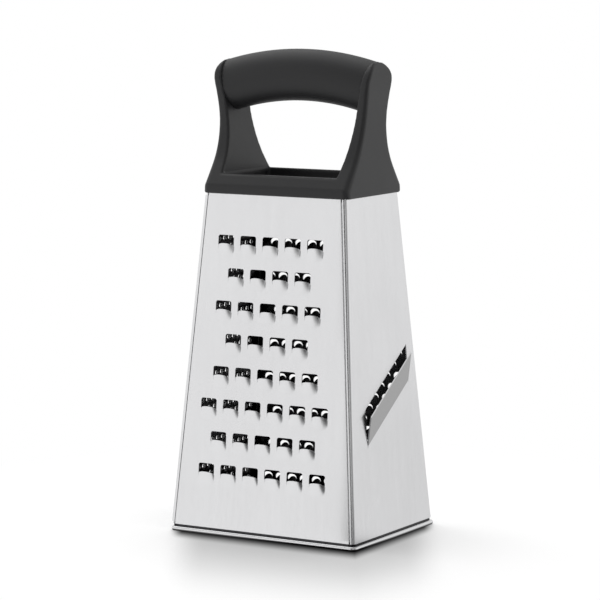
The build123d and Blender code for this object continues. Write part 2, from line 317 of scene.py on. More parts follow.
def fresh_object(name, points=(), faces=()):
    """Object with a new mesh."""
    mesh = bpy.data.meshes.new(name)
    mesh.from_pydata([tuple(point) for point in points], [], [tuple(face) for face in faces])
    made = bpy.data.objects.new(name, mesh)
    bpy.context.scene.collection.objects.link(made)
    return made


def closed_object(name, points, faces, scale=MM):
    """Object with a closed mesh, scaled to metres, its doubles merged and its faces turned outwards."""
    made = fresh_object(name, [Vector(point) * scale for point in points], faces)
    bm = bmesh.new()
    bm.from_mesh(made.data)
    bmesh.ops.remove_doubles(bm, verts=bm.verts, dist=MERGE_TOLERANCE * MM)
    bmesh.ops.recalc_face_normals(bm, faces=bm.faces)
    bm.to_mesh(made.data)
    bm.free()
    return made


def drop(made):
    """Deletes a helper object and its mesh."""
    mesh = made.data
    bpy.data.objects.remove(made)
    bpy.data.meshes.remove(mesh)


def applied(made):
    """Replaces an object's mesh by what its modifiers make of it."""
    graph = bpy.context.evaluated_depsgraph_get()
    mesh = bpy.data.meshes.new_from_object(made.evaluated_get(graph), depsgraph=graph)
    old = made.data
    made.modifiers.clear()
    made.data = mesh
    bpy.data.meshes.remove(old)
    return made


def finished(made, material, nodes, sharp_angle=40):
    """Smooth shading with sharp creases, a material, and the part of the frame that the piece stands for."""
    made.data.shade_smooth()
    made.data.set_sharp_from_angle(angle=math.radians(sharp_angle))
    made.data.materials.clear()
    made.data.materials.append(material)
    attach(made, "root")
    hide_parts(*nodes)


def thickened(made, group):
    """Gives an open sheet its thickness, inwards, in the share that a vertex group sets."""
    solid = made.modifiers.new("thickness", "SOLIDIFY")
    solid.thickness = SHEET * MM
    solid.offset = -1
    solid.vertex_group = group.name
    solid.thickness_vertex_group = 0
    return applied(made)


# Metal that stands further out than this is drawn up from the flat
RAISED_FROM = 0.05


def full_sheet(made, toward_x, toward_y, raised_share):
    """Vertex group of a sheet's thickness: full on the flat, a share of it where the metal is drawn up."""
    group = made.vertex_groups.new(name="full_sheet")
    plane = panel_matrix(toward_x, toward_y)
    normal = face_normal(toward_x, toward_y)
    foot = plane.translation * MM
    for vertex in made.data.vertices:
        raised = (vertex.co - foot).dot(normal) > RAISED_FROM * MM
        group.add([vertex.index], raised_share if raised else 1.0, "REPLACE")
    return group


def inside(point, loop):
    """Whether a flat point lies within a closed loop."""
    crossings = 0
    for (ax, ay), (bx, by) in zip(loop, loop[1:] + loop[:1]):
        if (ay > point[1]) != (by > point[1]):
            crossings += point[0] < ax + (point[1] - ay) * (bx - ax) / (by - ay)
    return crossings % 2 == 1


def flat_fill(outer, holes):
    """Triangles of the flat area inside one loop and outside the others."""
    points = []
    edges = []
    for loop in [outer] + holes:
        start = len(points)
        points += loop
        edges += [(start + i, start + (i + 1) % len(loop)) for i in range(len(loop))]
    corners, _, faces, *_ = geometry.delaunay_2d_cdt(
        [Vector(point) for point in points], edges, [], 0, FILL_TOLERANCE)
    kept = []
    for face in faces:
        middle = sum((corners[i] for i in face), Vector((0, 0))) / len(face)
        if inside(middle, outer) and not any(inside(middle, hole) for hole in holes):
            kept.append(face)
    return [(x, y, 0) for x, y in corners], kept


def ring_faces(first, second, count):
    """Quads between two closed rings of points that start at these numbers."""
    return [(first + i, first + (i + 1) % count, second + (i + 1) % count, second + i) for i in range(count)]


def lofted(rings, closed=False):
    """Points and quads of a skin over rings that have equal counts of points."""
    count = len(rings[0])
    points = [point for ring in rings for point in ring]
    pairs = list(zip(range(len(rings)), range(1, len(rings))))
    if closed:
        pairs.append((len(rings) - 1, 0))
    return points, [face for a, b in pairs for face in ring_faces(a * count, b * count, count)]


def capped(rings):
    """A lofted skin with both its ends closed."""
    points, faces = lofted(rings)
    count = len(rings[0])
    return points, faces + [tuple(range(count)), tuple(range(len(points) - count, len(points)))]


def strip_quads(first, rows, columns):
    """Quads of a grid of points, numbered row by row from the first."""
    wide = columns + 1
    starts = [first + row * wide + i for row in range(rows) for i in range(columns)]
    return [(i, i + 1, i + wide + 1, i + wide) for i in starts]


def arc_points(centre, radius, start, end, count):
    """Points along an arc, with angles in degrees."""
    turns = [math.radians(start + (end - start) * i / count) for i in range(count + 1)]
    return [(centre[0] + radius * math.cos(turn), centre[1] + radius * math.sin(turn)) for turn in turns]


def rounded_loop(half_x, half_y, radius, height, steps=6):
    """Level loop round a rectangle with rounded corners."""
    loop = []
    for quarter, (sign_x, sign_y) in enumerate(((1, 1), (-1, 1), (-1, -1), (1, -1))):
        for step in range(steps + 1):
            turn = math.pi / 2 * (quarter + step / steps)
            loop.append((sign_x * (half_x - radius) + radius * math.cos(turn),
                         sign_y * (half_y - radius) + radius * math.sin(turn), height))
    return loop


# Punched teeth, drawn flat: x across the panel, y up its slope, z outwards, the foot of the opening at 0

def with_flat_ring(points, faces, loop, margin):
    """Adds a level ring outside a feature, so that its shading ends there. Returns the ring's outline too."""
    spans = [(min(points[i][k] for i in loop), max(points[i][k] for i in loop)) for k in (0, 1)]
    middles = [(low + high) / 2 for low, high in spans]
    scales = [1 + 2 * margin / (high - low) for low, high in spans]
    start = len(points)
    outline = [tuple(middles[k] + (points[i][k] - middles[k]) * scales[k] for k in (0, 1)) for i in loop]
    points = points + [(x, y, 0) for x, y in outline]
    count = len(loop)
    faces = faces + [(loop[i], loop[(i + 1) % count], start + (i + 1) % count, start + i)
                     for i in range(count)]
    return points, faces, outline


ROOT_CURVE = 0.4
ARCH_POWER = 2.4
CORNER_BENDS = 5
SCOOP_MARGIN_SHARE = 0.04
SCOOP_MARGIN = 0.05


def scoop(width, opening, corner, arch, lift, ramp, fullness, ease, columns, rows):
    """A tooth: a tongue that rises to an arched cutting edge under an opening with rounded upper corners."""
    half = width / 2
    base = math.sqrt(fullness ** 2 - 1)
    points = []
    for row in range(rows + 1):
        climb = row / rows
        for column in range(columns + 1):
            side = math.sin(math.pi / 2 * (2 * column / columns - 1))
            crown = (math.sqrt(fullness ** 2 - side ** 2) - base) / (fullness - base)
            root = -ramp * math.sqrt(1 - ROOT_CURVE * side ** 2)
            edge = arch * (1 - abs(side) ** ARCH_POWER)
            swell = (1 + ease) * climb ** 2 / (climb + ease)
            points.append((half * side, root + (edge - root) * climb, lift * crown * swell))
    wide = columns + 1
    loop = [row * wide for row in range(rows, 0, -1)]
    loop += list(range(wide))
    loop += [row * wide + columns for row in range(1, rows + 1)]
    upper = []
    turns = [math.pi / 2 * step / CORNER_BENDS for step in range(CORNER_BENDS + 1)]
    for sign, ordered in ((1, turns), (-1, turns[::-1])):
        for turn in ordered:
            upper.append((sign * (half - corner + corner * math.cos(turn)),
                          opening - corner + corner * math.sin(turn), 0))
    loop += range(len(points), len(points) + len(upper))
    margin = SCOOP_MARGIN_SHARE * width + SCOOP_MARGIN
    return with_flat_ring(points + upper, strip_quads(0, rows, columns), loop, margin)


# A burr's slope as shares of the way from root to rim and of the height, and how ragged its two lips are
SLOPE_RADIUS = 0.45
SLOPE_LEVEL = 0.32
RIM_LEVEL = 0.78
RIM_RAGGED = 0.06
LIP_RAGGED = 0.3
BURR_MARGIN = 0.15


def burr(root, rim, hole, height, petals):
    """A pierced burr: a raised crater whose torn lip stands in points."""
    count = 2 * petals
    slope = (1 - SLOPE_RADIUS) * root + SLOPE_RADIUS * rim
    profile = [(root, 0, 0), (slope, SLOPE_LEVEL * height, 0), (rim, RIM_LEVEL * height, RIM_RAGGED),
               (hole, height, LIP_RAGGED)]
    points = []
    for radius, level, ragged in profile:
        for step in range(count):
            turn = 2 * math.pi * step / count
            jag = (1 if step % 2 else -1) * ragged / 2
            reach = radius * (1 - jag)
            points.append((reach * math.cos(turn), reach * math.sin(turn), level * (1 + jag)))
    faces = [face for ring in range(len(profile) - 1)
             for face in ring_faces(ring * count, (ring + 1) * count, count)]
    return with_flat_ring(points, faces, list(range(count)), BURR_MARGIN)


def cell(name, feature, column_pitch, row_pitch, foot):
    """One feature in its flat rectangle of the panel, or the bare rectangle."""
    x = column_pitch / 2
    low, high = foot, foot + row_pitch
    outline = [(-x, low), (0, low), (x, low), (x, high), (0, high), (-x, high)]
    if feature is None:
        return fresh_object(name, [(a, b, 0) for a, b in outline], [range(len(outline))])
    points, faces, ring = feature
    flat_points, flat_faces = flat_fill(outline, [ring])
    joined = list(faces) + [[i + len(points) for i in face] for face in flat_faces]
    return fresh_object(name, list(points) + flat_points, joined)


ROW_NUDGE = 0.001
ABOVE_FIRST_ROW = -0.5


def lattice_tree():
    """Staggered rows of cells: a tooth where the panel is wide enough, a bare cell elsewhere."""
    tree, graph, given = open_tree("punched_lattice", {
        "Tooth": "Object", "Bare cell": "Object", "Columns": "Int", "Rows": "Int", "Rows above": "Int",
        "Column pitch": "Float", "Row pitch": "Float", "Top tooth": "Float", "Bottom limit": "Float",
        "Shift": "Float", "Half width": "Float", "Narrowing": "Float", "Edge margin": "Float",
        "Weld distance": "Float", "Material": "Material"})
    index = graph.add("GeometryNodeInputIndex")
    row = (index / given["Columns"] + ROW_NUDGE).floor()
    column = index - row * given["Columns"]
    step = row - given["Rows above"]
    across = (column - (given["Columns"] - 1) * 0.5 + (abs(step) % 2) * 0.5) * given["Column pitch"]
    up = given["Top tooth"] - step * given["Row pitch"]
    room = given["Half width"] - up * given["Narrowing"] - given["Edge margin"]
    punched = (abs(across) < room) * (step > ABOVE_FIRST_ROW) * (up > given["Bottom limit"])
    place = graph.add("ShaderNodeCombineXYZ", {"X": across + given["Shift"], "Y": up})
    count = given["Columns"] * given["Rows"]
    seats = graph.add("GeometryNodePoints", {"Count": count, "Position": place})
    parts = []
    for shape, chosen in (("Tooth", punched), ("Bare cell", 1 - punched)):
        source = graph.add("GeometryNodeObjectInfo", {"Object": given[shape]}, "Geometry")
        parts.append(graph.add("GeometryNodeInstanceOnPoints",
                               {"Points": seats, "Selection": chosen, "Instance": source}))
    joined = graph.add("GeometryNodeJoinGeometry", {"Geometry": parts})
    solid = graph.add("GeometryNodeRealizeInstances", {"Geometry": joined})
    welded = graph.add("GeometryNodeMergeByDistance", {"Geometry": solid, "Distance": given["Weld distance"]})
    close_tree(graph, welded, given["Material"])
    return tree


def with_tree(made, tree, values):
    """Runs a node tree on an object, with its named inputs set, and keeps the result as a plain mesh."""
    modifier = made.modifiers.new(tree.name, "NODES")
    modifier.node_group = tree
    for item in tree.interface.items_tree:
        if item.in_out == "INPUT" and item.name in values:
            modifier[item.identifier] = values[item.name]
    return applied(made)


# Panels

def face_normal(toward_x, toward_y):
    taper = LENGTH_TAPER if toward_x else DEPTH_TAPER
    return Vector((toward_x, toward_y, taper)).normalized()


def panel_matrix(toward_x, toward_y):
    """Turns a panel's flat coordinates into the body's, still in millimetres."""
    out = face_normal(toward_x, toward_y)
    across = Vector((-toward_y, toward_x, 0))
    matrix = Matrix((across, out.cross(across), out)).transposed().to_4x4()
    matrix.translation = (toward_x * BASE_LENGTH / 2, toward_y * BASE_DEPTH / 2, RIM_HEIGHT)
    return matrix


def panel_sizes(toward_x):
    """A panel's taper, half its width at the foot, and how fast each side narrows up the slope."""
    if toward_x:
        return LENGTH_TAPER, BASE_DEPTH / 2, DEPTH_TAPER / math.sqrt(1 + LENGTH_TAPER * LENGTH_TAPER)
    return DEPTH_TAPER, BASE_LENGTH / 2, LENGTH_TAPER / math.sqrt(1 + DEPTH_TAPER * DEPTH_TAPER)


def slope_place(height, taper):
    """Distance up a panel's slope of a height above the table."""
    return (height - RIM_HEIGHT) * math.sqrt(1 + taper * taper)


def bend_steps(start, end, radius, count):
    """Steps along an arc whose outward direction turns from start to end."""
    places = [radius * start.slerp(end, i / count) for i in range(count + 1)]
    return [b - a for a, b in zip(places, places[1:])]


def corner_sizes(side):
    """Bend radius, lip width and seam gap of a side panel's corners: the left panel is folded tighter."""
    if side > 0:
        return CORNER_RADIUS, LIP_WIDTH, SEAM_GAP
    return LEFT_CORNER_RADIUS, LEFT_LIP_WIDTH, LEFT_SEAM_GAP


def wrap_steps(normal, neighbour):
    """A side panel's corner: round to the neighbouring face, then the lip."""
    radius, lip, _ = corner_sizes(normal.x)
    along = -(normal - normal.dot(neighbour) * neighbour).normalized()
    flat = lip - radius * math.tan(normal.angle(neighbour) / 2)
    return bend_steps(normal, neighbour, radius, CORNER_STEPS) + [along * flat]


def lap_steps(normal, neighbour):
    """A front or back panel's edge: it bends in, then runs behind the lip."""
    toward = (neighbour - normal.dot(neighbour) * normal).normalized()
    bend = bend_steps(normal, toward, STEP_BEND, BEND_STEPS)
    return bend + [normal * (STEP_BEND - LAP_DEPTH), toward * LAP_REACH]


def cut_across(bm, place, facing, trims):
    """Cuts a flat sheet along a line, and takes away what lies beyond it if it trims."""
    bmesh.ops.bisect_plane(bm, geom=bm.verts[:] + bm.edges[:] + bm.faces[:], dist=CUT_TOLERANCE,
                           plane_co=place, plane_no=facing, clear_outer=trims)


def face_out(bm, normal):
    """Turns a sheet's faces together to its panel's outer side."""
    bmesh.ops.recalc_face_normals(bm, faces=bm.faces)
    if sum(face.normal.dot(normal) * face.calc_area() for face in bm.faces) < 0:
        bmesh.ops.reverse_faces(bm, faces=bm.faces)
    bm.normal_update()


def fold_edge(bm, chain, steps):
    """Extends a sheet from a chain of its edges, one step after another."""
    for step in steps:
        made = bmesh.ops.extrude_edge_only(bm, edges=chain)["geom"]
        points = [item for item in made if isinstance(item, bmesh.types.BMVert)]
        chain = [item for item in made if isinstance(item, bmesh.types.BMEdge)
                 and all(v in points for v in item.verts)]
        bmesh.ops.translate(bm, vec=step, verts=points)


def set_foot(bm):
    """Draws a sheet's lower edge in at the neck, then down into the rim's slot."""
    low = [e for e in bm.edges if e.is_boundary and all(v.co.z < NECK_TOP + NECK_DEPTH for v in e.verts)]
    made = bmesh.ops.extrude_edge_only(bm, edges=low)["geom"]
    inward = {item: item.normal.copy() for item in made if isinstance(item, bmesh.types.BMVert)}
    for vertex, direction in inward.items():
        vertex.co -= Vector((direction.x, direction.y, 0)).normalized() * NECK_DEPTH
    neck = [e for e in bm.edges if e.is_boundary and all(v in inward for v in e.verts)]
    for item in bmesh.ops.extrude_edge_only(bm, edges=neck)["geom"]:
        if isinstance(item, bmesh.types.BMVert):
            item.co.z = RIM_FLOOR + FOOT_GAP


def bordered(sheet, toward_x, toward_y):
    """Trims a flat sheet to its panel, folds its two side edges and sets its foot in the rim."""
    taper, half_foot, narrowing = panel_sizes(toward_x)
    normal = face_normal(toward_x, toward_y)
    sides = [(face_normal(-toward_y, toward_x), 1), (face_normal(toward_y, -toward_x), -1)]
    slant = math.sqrt(1 + narrowing * narrowing)
    if toward_x:
        inset = corner_sizes(toward_x)[0] * math.tan(normal.angle(sides[0][0]) / 2)
        insets = [inset * slant] * 2
    else:
        insets = [(sum(corner_sizes(side.x)[1:]) + STEP_BEND) * slant for side, _ in sides]
    bm = bmesh.new()
    bm.from_mesh(sheet.data)
    lap_low, lap_high = slope_place(LAP_BOTTOM, taper), slope_place(LAP_TOP, taper)
    borders = [(Vector((sign * (half_foot - inset), 0, 0)), Vector((sign, narrowing, 0)))
               for (_, sign), inset in zip(sides, insets)]
    cut_across(bm, (0, slope_place(NECK_TOP, taper), 0), (0, -1, 0), True)
    cut_across(bm, (0, slope_place(STEEL_TOP, taper), 0), (0, 1, 0), True)
    for place, facing in borders:
        cut_across(bm, place, facing, True)
    for height in (lap_low, lap_high):
        cut_across(bm, (0, height, 0), (0, 1, 0), False)
    chains = []
    for place, facing in borders:
        direction = facing.normalized()
        chain = [edge for edge in bm.edges if edge.is_boundary
                 and all(abs((v.co - place).dot(direction)) < EDGE_TOLERANCE for v in edge.verts)]
        if not toward_x:
            low, high = lap_low - PLACE_TOLERANCE, lap_high + PLACE_TOLERANCE
            chain = [edge for edge in chain if all(low < v.co.y < high for v in edge.verts)]
        chains.append(chain)
    bmesh.ops.transform(bm, matrix=panel_matrix(toward_x, toward_y), verts=bm.verts)
    for chain, (neighbour, _) in zip(chains, sides):
        fold_edge(bm, chain, wrap_steps(normal, neighbour) if toward_x else lap_steps(normal, neighbour))
    bmesh.ops.remove_doubles(bm, verts=bm.verts, dist=MERGE_TOLERANCE)
    face_out(bm, normal)
    set_foot(bm)
    face_out(bm, normal)
    bmesh.ops.scale(bm, vec=(MM, MM, MM), verts=bm.verts)
    bm.to_mesh(sheet.data)
    bm.free()


WELD_DISTANCE = 0.001
SPARE_COLUMNS = 3


def punched_panel(name, toward_x, toward_y, feature, lattice):
    """A panel with a staggered lattice of one feature."""
    pitches = (lattice["Column pitch"], lattice["Row pitch"], lattice["Cell foot"])
    tooth = cell("tooth_cell", feature, *pitches)
    bare = cell("bare_cell", None, *pitches)
    taper, half_width, narrowing = panel_sizes(toward_x)
    slope = BODY_RISE * math.sqrt(1 + taper * taper)
    above = math.ceil((lattice["Top margin"] + TUCK) / lattice["Row pitch"]) + 1
    panel = fresh_object(name + "_sheet")
    with_tree(panel, lattice_nodes, {
        **lattice, "Tooth": tooth, "Bare cell": bare,
        "Columns": 2 * math.ceil(half_width / lattice["Column pitch"]) + SPARE_COLUMNS,
        "Rows": above + math.ceil(slope / lattice["Row pitch"]) + 2, "Rows above": above,
        "Top tooth": slope - lattice["Top margin"], "Bottom limit": lattice["Bottom margin"],
        "Half width": half_width, "Narrowing": narrowing, "Weld distance": WELD_DISTANCE, "Material": steel})
    for helper in (tooth, bare):
        drop(helper)
    bordered(panel, toward_x, toward_y)
    thickened(panel, full_sheet(panel, toward_x, toward_y, lattice["Raised share"]))
    finished(panel, steel, [name])


# Slicing side: a slanted slot, and the strip from it bent out as a blade
BLADE_LENGTH = 45.6
BLADE_SHIFT = 1.8
BLADE_FOOT = 45.9
BLADE_ANGLE = 31.0
SLOT_HEIGHT = 19.2
BLADE_HEIGHT = 15.7
BLADE_LIFT = 3.0
BLADE_SIDE_GAP = 0.3
BLADE_BEND = 1.2
BLADE_BEND_STEPS = 3
BLADE_STOPS = (0.35, 0.7, 1.0)
BLADE_COLUMNS = 24
BLADE_BEVEL = 0.4
BEVEL_DROP = 0.35
GROUND_EDGE = 0.06


def blade_rows(width):
    """The blade's section: each row's place along the strip, up the slope and out of the sheet."""
    lean = math.asin(BLADE_LIFT / width)
    rows = [(0.0, 0.0, 0.0)]
    for turn in [lean * step / BLADE_BEND_STEPS for step in range(1, BLADE_BEND_STEPS + 1)]:
        rows.append((turn * BLADE_BEND, BLADE_BEND * math.sin(turn), BLADE_BEND * (1 - math.cos(turn))))
    start = rows[-1]
    for share in BLADE_STOPS:
        run = (width - BLADE_BEVEL - start[0]) * share
        rows.append((start[0] + run, start[1] + run * math.cos(lean), start[2] + run * math.sin(lean)))
    edge = rows[-1]
    rows.append((width, edge[1] + BLADE_BEVEL * math.cos(lean) + BEVEL_DROP * math.sin(lean),
                 edge[2] + BLADE_BEVEL * math.sin(lean) - BEVEL_DROP * math.cos(lean)))
    return rows


def slicing_panel(name):
    """The right side, flat first, with its blade on the slot's lower edge."""
    left = BLADE_SHIFT - BLADE_LENGTH / 2
    slant = math.radians(BLADE_ANGLE)
    climb = BLADE_LENGTH * math.tan(slant)
    count = BLADE_COLUMNS
    fold = [(left + BLADE_LENGTH * i / count, BLADE_FOOT + climb * i / count) for i in range(count + 1)]
    slot = fold + [(x, y + SLOT_HEIGHT) for x, y in (fold[-1], fold[0])]
    reach = BASE_DEPTH / 2
    top = slope_place(STEEL_TOP, LENGTH_TAPER) + 1
    outer = [(-reach, -RIM_HEIGHT), (reach, -RIM_HEIGHT), (reach, top), (-reach, top)]
    points, faces = flat_fill(outer, [slot])
    width = BLADE_HEIGHT * math.cos(slant)
    drift = BLADE_HEIGHT * math.sin(slant)
    fold_length = BLADE_LENGTH / math.cos(slant)
    along = Vector((math.cos(slant), math.sin(slant), 0))
    flat_up = Vector((-math.sin(slant), math.cos(slant), 0))
    out = Vector((0, 0, 1))
    origin = Vector((left, BLADE_FOOT, 0))
    first = len(points)
    rows = blade_rows(width)
    for depth, up, lift in rows:
        gap = BLADE_SIDE_GAP if depth else 0
        for i in range(count + 1):
            run = drift * depth / width + gap + (fold_length - 2 * gap) * i / count
            points.append(tuple(origin + along * run + flat_up * up + out * lift))
    faces += strip_quads(first, len(rows) - 1, count)
    panel = fresh_object(name + "_sheet", points, faces)
    sharp_places = [panel_matrix(1, 0) @ Vector(point) * MM for point in points[-count - 1:]]
    bordered(panel, 1, 0)
    group = full_sheet(panel, 1, 0, 1.0)
    for vertex in panel.data.vertices:
        if any((vertex.co - place).length < PLACE_TOLERANCE * MM for place in sharp_places):
            group.add([vertex.index], GROUND_EDGE, "REPLACE")
    thickened(panel, group)
    finished(panel, steel, [name], sharp_angle=25)


# Folded rim and top plate

def base_rim():
    """Rounded bead, closed under the body, with a slot for the panels and a leg folded up inside it."""
    middle = BEAD_HEIGHT / 2
    profile = [(RIM_OVERHANG * math.cos(turn), middle + middle * math.sin(turn))
               for turn in [math.pi * (i / BEAD_STEPS - 0.5) for i in range(BEAD_STEPS + 1)]]
    slot = -NECK_DEPTH + RIM_SLOT_GAP
    inner = -NECK_DEPTH - SHEET - RIM_SLOT_GAP
    leg = inner - RIM_FLOOR
    leg_top = RIM_HEIGHT + RIM_LEG_RISE
    lip_centre = (slot + RIM_LIP_ROUND, BEAD_HEIGHT - RIM_LIP_ROUND)
    profile += arc_points(lip_centre, RIM_LIP_ROUND, 90, 180, count=3)
    profile += [(slot, RIM_FLOOR), (inner, RIM_FLOOR), (inner, leg_top), (leg, leg_top)]
    profile += arc_points((leg + RIM_FOOT_ROUND, RIM_FOOT_ROUND), RIM_FOOT_ROUND, 180, 270, count=5)
    loops = [rounded_loop(BASE_LENGTH / 2 + out, BASE_DEPTH / 2 + out,
                          max(CORNER_RADIUS + out, RIM_LEAST_CORNER), height, CORNER_STEPS)
             for out, height in profile]
    ring = closed_object("base_rim_ring", *lofted(loops, closed=True))
    finished(ring, rim_steel, ["base_rim"], sharp_angle=50)


def top_plate():
    """Pressed plate with a rounded shoulder and a turned-down flange."""
    inset = SHEET + PLATE_GAP
    half_x = BASE_LENGTH / 2 - LENGTH_TAPER * (STEEL_TOP - RIM_HEIGHT) - inset
    half_y = BASE_DEPTH / 2 - DEPTH_TAPER * (STEEL_TOP - RIM_HEIGHT) - inset
    centre = (-PLATE_BEND, STEEL_TOP - PLATE_BEND)
    flange = STEEL_TOP - PLATE_FLANGE
    outer = [(0, flange)] + arc_points(centre, PLATE_BEND, 0, 90, count=6)
    inner = arc_points(centre, PLATE_BEND - PLATE_THICKNESS, 90, 0, count=4) + [(-PLATE_THICKNESS, flange)]
    skins = []
    for profile in (outer, inner):
        skins.append(lofted([rounded_loop(half_x + out, half_y + out,
                                          PLATE_CORNER + max(out, -PLATE_THICKNESS), height)
                             for out, height in profile]))
    (points, faces), (more, more_faces) = skins
    start = len(points)
    count = start // len(outer)
    faces.append(tuple(range(start - count, start)))
    points += more
    faces += [tuple(start + i for i in face) for face in more_faces]
    faces.append(tuple(range(start, start + count)))
    faces += ring_faces(0, len(points) - count, count)
    plate = closed_object("pressed_plate", points, faces)
    finished(plate, steel, ["top_plate"], sharp_angle=50)


# Handle: distances to its outlines, crossed with rounded edges, and the skin where they meet zero
ROUND_STEPS = 12
WAIST_STEPS = 30
SHOULDER_STEPS = 14
HEAD_STEPS = 24
WINDOW_STEPS = 40
FAR_OFF = 1e9


def rounded_path(corners, radii):
    """Open path whose inner corners are rounded by the given radii."""
    path = [corners[0]]
    for before, corner, after, radius in zip(corners, corners[1:], corners[2:], radii):
        a, b, c = Vector(before), Vector(corner), Vector(after)
        back, on = (a - b).normalized(), (c - b).normalized()
        half = back.angle(on) / 2
        centre = b + (back + on).normalized() * radius / math.sin(half)
        first, last = (b + way * radius / math.tan(half) - centre for way in (back, on))
        start = math.degrees(math.atan2(first.y, first.x))
        end = math.degrees(math.atan2(last.y, last.x))
        path += arc_points(centre, radius, start, start + (end - start + 180) % 360 - 180, ROUND_STEPS)
    return path + [corners[-1]]


def both_sides(half_path):
    """Closed outline from the right half of a symmetrical one."""
    return half_path + [(-x, y) for x, y in reversed(half_path)]


def outline_distance(across, up, outline):
    """Distance of a grid of flat points to a closed outline, negative inside."""
    nearest = np.full(np.broadcast(across, up).shape, FAR_OFF)
    odd = np.zeros(nearest.shape, bool)
    for (ax, ay), (bx, by) in zip(outline, outline[1:] + outline[:1]):
        length = (bx - ax) ** 2 + (by - ay) ** 2
        if length == 0:
            continue
        share = np.clip(((across - ax) * (bx - ax) + (up - ay) * (by - ay)) / length, 0, 1)
        nearest = np.minimum(nearest, np.hypot(across - ax - share * (bx - ax), up - ay - share * (by - ay)))
        if ay != by:
            spans = (ay > up) != (by > up)
            odd ^= spans & (across < ax + (up - ay) * (bx - ax) / (by - ay))
    return np.where(odd, -nearest, nearest)


def crossed(first, second, radius):
    """What lies inside both forms, with a rounded edge where their faces meet."""
    a, b = first + radius, second + radius
    return np.minimum(np.maximum(a, b), 0) + np.hypot(np.maximum(a, 0), np.maximum(b, 0)) - radius


def net_skin(field, origin, step):
    """Points and quads of the surface where a grid of distances passes zero."""
    cells = tuple(n - 1 for n in field.shape)
    total = np.zeros(cells + (3,))
    count = np.zeros(cells)

    def corner(place):
        return field[tuple(slice(k, k + n) for k, n in zip(place, cells))]

    for axis in range(3):
        for p in (0, 1):
            for q in (0, 1):
                low = [p, q]
                low.insert(axis, 0)
                high = list(low)
                high[axis] = 1
                a, b = corner(low), corner(high)
                crosses = (a < 0) != (b < 0)
                share = np.where(crosses, a / np.where(crosses, a - b, 1), 0)
                for k in range(3):
                    total[..., k] += share if k == axis else crosses * low[k]
                count += crosses
    active = count > 0
    numbers = np.full(cells, -1)
    numbers[active] = np.arange(active.sum())
    points = (np.argwhere(active) + total[active] / count[active][:, None]) * step + np.array(origin)
    faces = []
    for axis in range(3):
        u, v = (axis + 1) % 3, (axis + 2) % 3
        low = [slice(1, -1)] * 3
        low[axis] = slice(0, -1)
        high = list(low)
        high[axis] = slice(1, None)
        a, b = field[tuple(low)], field[tuple(high)]
        for rising in (True, False):
            change = (a < 0) & (b >= 0) if rising else (a >= 0) & (b < 0)
            places = np.argwhere(change) + np.array([0 if k == axis else 1 for k in range(3)])
            around = []
            for du, dv in ((0, 0), (1, 0), (1, 1), (0, 1)):
                cell_place = places.copy()
                cell_place[:, u] -= du
                cell_place[:, v] -= dv
                around.append(numbers[tuple(cell_place.T)])
            faces.append(np.stack(around if rising else around[::-1], axis=1))
    return points, np.concatenate(faces)


def front_half_outline():
    """The handle from the front: a waisted side that flares and rounds over at the top."""
    heights = [BROW_HEIGHT * i / WAIST_STEPS for i in range(WAIST_STEPS + 1)]
    side = [(FOOT_HALF_LENGTH + WAIST_SLOPE * h + WAIST_BEND * h * h, h) for h in heights]
    slope = WAIST_SLOPE + 2 * WAIST_BEND * BROW_HEIGHT
    inward = Vector((-1, slope)).normalized() * SHOULDER_RADIUS
    start = math.degrees(math.atan2(-inward.y, -inward.x))
    shoulder = arc_points(Vector(side[-1]) + inward, SHOULDER_RADIUS, start, SHOULDER_END, SHOULDER_STEPS)
    foot = [(0, -PAST_FOOT), (FOOT_HALF_LENGTH, -PAST_FOOT)]
    return foot + side + shoulder[1:] + [(0, HEAD_HEIGHT + HEAD_ROOM)]


def side_half_outline():
    """The handle from the side: a skirt, a slope that sweeps in to a throat, and a round head."""
    lean = math.radians(UPRIGHT_LEAN)
    head_centre = HEAD_HEIGHT - HEAD_RADIUS
    head_start = (HEAD_RADIUS * math.cos(lean), head_centre - HEAD_RADIUS * math.sin(lean))
    throat = (head_start[0] - math.tan(lean) * (head_start[1] - THROAT_HEIGHT), THROAT_HEIGHT)
    foot = FOOT_HALF_DEPTH
    corners = [(foot, -PAST_FOOT), (foot, SKIRT_HEIGHT), throat, head_start]
    path = rounded_path(corners, [SKIRT_ROUND, THROAT_BEND])
    head = arc_points((0, head_centre), HEAD_RADIUS, -UPRIGHT_LEAN, 90, HEAD_STEPS)
    return [(0, -PAST_FOOT)] + path + head[1:], throat


def window_half_length(height):
    """Half the width of the gap between the uprights at a height above the collar's lower edge."""
    share = (height - COLLAR_HEIGHT) / WINDOW_RISE
    within = min(share, 1)
    past = max(share - 1, 0)
    return (WINDOW_HALF_LENGTH + WINDOW_LEAN * within - 4 * WINDOW_BOW * within * (1 - within)
            + (WINDOW_LEAN + 4 * WINDOW_BOW) * past)


def blended(first, second, share):
    """A size that goes from one value to another as a share goes from 0 to 1."""
    return first + (second - first) * np.clip(share, 0, 1)


